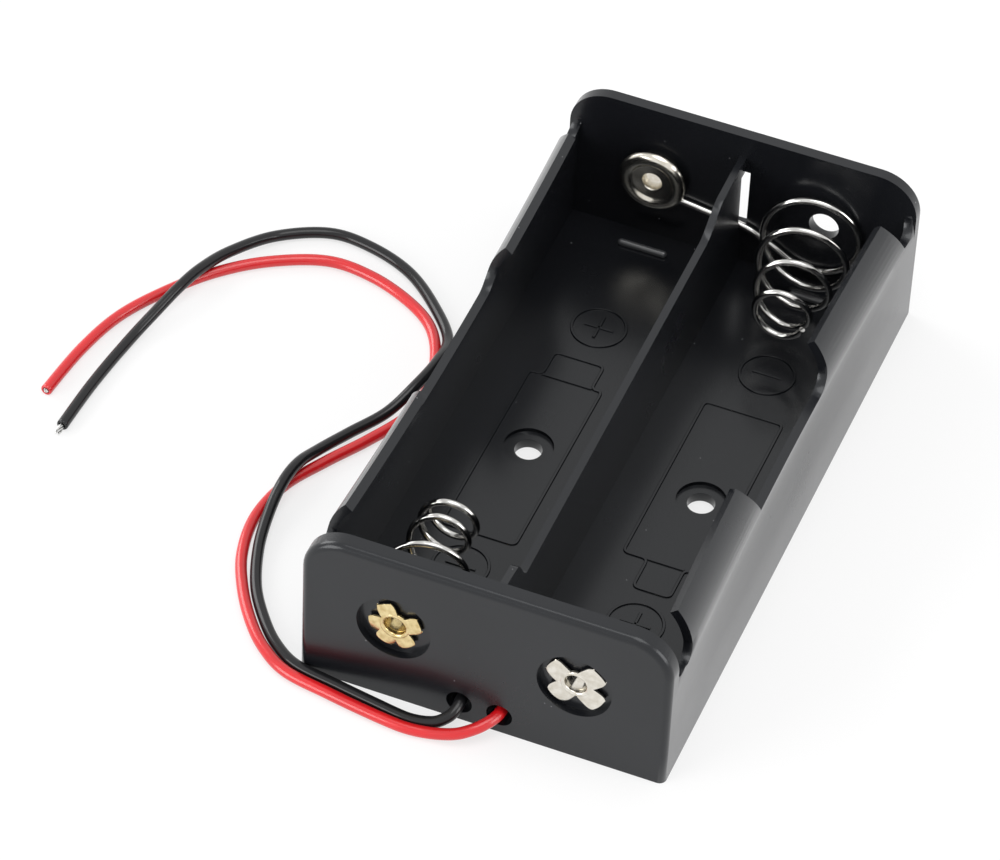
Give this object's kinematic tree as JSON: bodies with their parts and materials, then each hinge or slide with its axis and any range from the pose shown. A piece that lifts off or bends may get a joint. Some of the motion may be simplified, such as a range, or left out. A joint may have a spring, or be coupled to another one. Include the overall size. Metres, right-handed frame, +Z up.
{
  "type": "cylindrical cell holder",
  "caption": "Open moulded case with side-by-side bays for cylindrical cells, curled lips, cone springs and riveted contacts joined in series, and loose insulated leads.",
  "frame": {"origin": "on the underside of the case, at the middle of its length and width", "axes": "+X across the bays, +Y along the cells and away from the end the leads leave by, +Z up out of the open top"},
  "size_m": [0.0831, 0.0822, 0.02],
  "materials": {
    "black_plastic": "satin moulded ABS",
    "spring_wire": "bright nickel-plated steel wire",
    "brass": "pale, lightly tarnished",
    "nickel": "warm nickel plate",
    "tinned_metal": "tinned, satin",
    "black_insulation": "glossy soft PVC",
    "red_insulation": "glossy soft PVC"
  },
  "bodies": {
    "root": {"case": "black_plastic", "negative_spring": "spring_wire", "negative_rivet": "brass", "negative_tag": "tinned_metal", "positive_rivet": "nickel", "positive_tag": "tinned_metal", "link_spring": "spring_wire", "link_rivet": "nickel", "black_lead": "black_insulation", "red_lead": "red_insulation", "black_strands": "tinned_metal", "red_strands": "tinned_metal", "solder_joints": "tinned_metal"}
  },
  "joints": []
}
